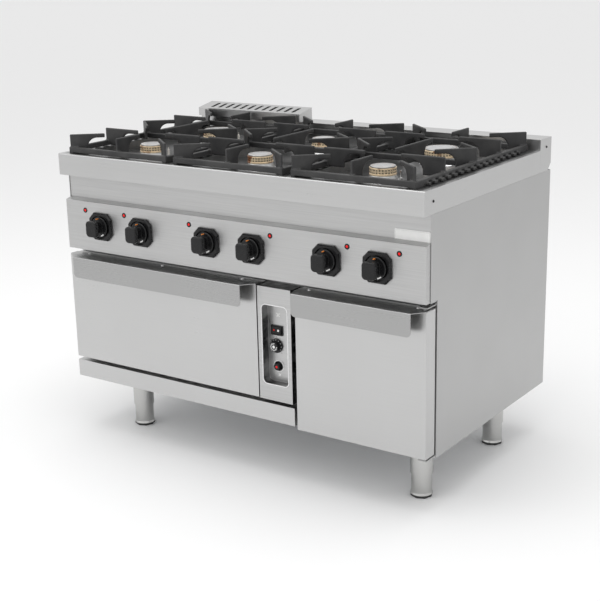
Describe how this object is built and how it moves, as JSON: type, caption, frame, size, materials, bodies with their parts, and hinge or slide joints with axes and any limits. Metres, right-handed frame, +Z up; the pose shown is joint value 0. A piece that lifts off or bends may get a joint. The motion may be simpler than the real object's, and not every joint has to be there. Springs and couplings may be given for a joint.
{
  "type": "commercial gas range",
  "caption": "Free-standing commercial gas range with open burners under cast-iron pan supports, a gas oven with a drop-down door, and a side-hinged cupboard.",
  "frame": {"origin": "on the floor plane, under the middle of the whole object's box", "axes": "+Z up, +X to the right seen from the front, the front with doors and knobs faces -Y"},
  "size_m": [1.2, 0.76, 0.9195],
  "materials": {
    "black_plastic": "glossy",
    "brass": "machined",
    "burner_cup": "cast",
    "chrome_wire": "polished",
    "enamel": "vitreous enamel",
    "foot_tube": "satin",
    "iron": "matt enamelled cast iron",
    "seal": "woven glass rope",
    "steel": "brushed",
    "steel_dark": "mill",
    "wool": "mineral fibre",
    "zinc": "galvanised"
  },
  "bodies": {
    "casing": {"side_panel_left": "steel", "side_panel_right": "steel", "back_panel": "zinc", "base_pan": "zinc", "partition_wall": "steel_dark", "burner_box_floor": "zinc", "front_frame": "steel", "plinth": "steel", "hob_top": "steel", "backguard": "steel", "flue_box": "steel", "flue_duct": "zinc", "fascia_strip": "steel", "control_panel": "steel", "knob_bezels": "black_plastic", "gas_taps": "brass", "gas_pipework": "zinc", "burner_bodies": "burner_cup", "oven_liner": "enamel", "oven_insulation": "wool", "oven_floor_plate": "steel_dark", "oven_shelf": "chrome_wire", "oven_burner": "steel_dark", "oven_door_seal": "seal", "hinge_brackets": "steel_dark", "oven_control_fascia": "steel", "oven_control_bodies": "black_plastic", "foot_sleeves": "foot_tube"},
    "oven_door": {"oven_door_outer": "steel", "oven_door_inner": "steel", "oven_door_insulation": "wool", "oven_door_handle": "steel"},
    "cupboard_door": {"cupboard_door_outer": "steel", "cupboard_door_inner": "steel", "cupboard_door_handle": "steel"},
    "thermostat": {"thermostat_dial": "black_plastic"},
    "rocker": {"switch_rocker": "black_plastic"},
    "igniter": {"igniter_button": "black_plastic"},
    "feet": {"foot_inserts": "foot_tube"},
    "tap_1": {"tap_spindle_1": "brass"},
    "knob_1": {"knob_1": "black_plastic"},
    "tap_2": {"tap_spindle_2": "brass"},
    "knob_2": {"knob_2": "black_plastic"},
    "tap_3": {"tap_spindle_3": "brass"},
    "knob_3": {"knob_3": "black_plastic"},
    "tap_4": {"tap_spindle_4": "brass"},
    "knob_4": {"knob_4": "black_plastic"},
    "tap_5": {"tap_spindle_5": "brass"},
    "knob_5": {"knob_5": "black_plastic"},
    "tap_6": {"tap_spindle_6": "brass"},
    "knob_6": {"knob_6": "black_plastic"},
    "burner_1": {"burner_head_1": "brass"},
    "burner_2": {"burner_head_2": "brass"},
    "burner_3": {"burner_head_3": "brass"},
    "burner_4": {"burner_head_4": "brass"},
    "burner_5": {"burner_head_5": "brass"},
    "burner_6": {"burner_head_6": "brass"},
    "pan_support_left": {"pan_support_left": "iron"},
    "pan_support_middle": {"pan_support_middle": "iron"},
    "pan_support_right": {"pan_support_right": "iron"}
  },
  "joints": [
    {"name": "oven_door_hinge", "type": "hinge", "parent": "casing", "child": "oven_door", "pos_m": [-0.2575, -0.319, 0.24], "axis": [1, 0, 0], "range_deg": [0, 90]},
    {"name": "cupboard_door_hinge", "type": "hinge", "parent": "casing", "child": "cupboard_door", "pos_m": [0.584, -0.315, 0.355], "axis": [0, 0, 1], "range_deg": [0, 110]},
    {"name": "thermostat_turn", "type": "hinge", "parent": "casing", "child": "thermostat", "pos_m": [0.127, -0.311, 0.378], "axis": [0, -1, 0], "range_deg": [-280, 0]},
    {"name": "switch_rock", "type": "hinge", "parent": "casing", "child": "rocker", "pos_m": [0.13, -0.303, 0.422], "axis": [1, 0, 0], "range_deg": [0, 14]},
    {"name": "igniter_push", "type": "slide", "parent": "casing", "child": "igniter", "axis": [0, 1, 0], "range_m": [0, 0.0025], "stiffness_N_per_m": 400},
    {"name": "feet_level", "type": "slide", "parent": "casing", "child": "feet", "axis": [0, 0, -1], "range_m": [0, 0.03]},
    {"name": "tap_1_push", "type": "slide", "parent": "casing", "child": "tap_1", "axis": [0, 1, 0], "range_m": [0, 0.004], "stiffness_N_per_m": 800},
    {"name": "knob_1_turn", "type": "hinge", "parent": "tap_1", "child": "knob_1", "pos_m": [-0.462, -0.349, 0.6455], "axis": [0, -1, 0], "range_deg": [0, 210]},
    {"name": "tap_2_push", "type": "slide", "parent": "casing", "child": "tap_2", "axis": [0, 1, 0], "range_m": [0, 0.004], "stiffness_N_per_m": 800},
    {"name": "knob_2_turn", "type": "hinge", "parent": "tap_2", "child": "knob_2", "pos_m": [-0.312, -0.349, 0.6455], "axis": [0, -1, 0], "range_deg": [0, 210]},
    {"name": "tap_3_push", "type": "slide", "parent": "casing", "child": "tap_3", "axis": [0, 1, 0], "range_m": [0, 0.004], "stiffness_N_per_m": 800},
    {"name": "knob_3_turn", "type": "hinge", "parent": "tap_3", "child": "knob_3", "pos_m": [-0.075, -0.349, 0.6455], "axis": [0, -1, 0], "range_deg": [0, 210]},
    {"name": "tap_4_push", "type": "slide", "parent": "casing", "child": "tap_4", "axis": [0, 1, 0], "range_m": [0, 0.004], "stiffness_N_per_m": 800},
    {"name": "knob_4_turn", "type": "hinge", "parent": "tap_4", "child": "knob_4", "pos_m": [0.075, -0.349, 0.6455], "axis": [0, -1, 0], "range_deg": [0, 210]},
    {"name": "tap_5_push", "type": "slide", "parent": "casing", "child": "tap_5", "axis": [0, 1, 0], "range_m": [0, 0.004], "stiffness_N_per_m": 800},
    {"name": "knob_5_turn", "type": "hinge", "parent": "tap_5", "child": "knob_5", "pos_m": [0.312, -0.349, 0.6455], "axis": [0, -1, 0], "range_deg": [0, 210]},
    {"name": "tap_6_push", "type": "slide", "parent": "casing", "child": "tap_6", "axis": [0, 1, 0], "range_m": [0, 0.004], "stiffness_N_per_m": 800},
    {"name": "knob_6_turn", "type": "hinge", "parent": "tap_6", "child": "knob_6", "pos_m": [0.462, -0.349, 0.6455], "axis": [0, -1, 0], "range_deg": [0, 210]},
    {"name": "burner_1_lift", "type": "slide", "parent": "casing", "child": "burner_1", "axis": [0, 0, 1], "range_m": [0, 0.06]},
    {"name": "burner_2_lift", "type": "slide", "parent": "casing", "child": "burner_2", "axis": [0, 0, 1], "range_m": [0, 0.06]},
    {"name": "burner_3_lift", "type": "slide", "parent": "casing", "child": "burner_3", "axis": [0, 0, 1], "range_m": [0, 0.06]},
    {"name": "burner_4_lift", "type": "slide", "parent": "casing", "child": "burner_4", "axis": [0, 0, 1], "range_m": [0, 0.06]},
    {"name": "burner_5_lift", "type": "slide", "parent": "casing", "child": "burner_5", "axis": [0, 0, 1], "range_m": [0, 0.06]},
    {"name": "burner_6_lift", "type": "slide", "parent": "casing", "child": "burner_6", "axis": [0, 0, 1], "range_m": [0, 0.06]},
    {"name": "pan_support_left_lift", "type": "slide", "parent": "casing", "child": "pan_support_left", "axis": [0, 0, 1], "range_m": [0, 0.08]},
    {"name": "pan_support_middle_lift", "type": "slide", "parent": "casing", "child": "pan_support_middle", "axis": [0, 0, 1], "range_m": [0, 0.08]},
    {"name": "pan_support_right_lift", "type": "slide", "parent": "casing", "child": "pan_support_right", "axis": [0, 0, 1], "range_m": [0, 0.08]}
  ]
}
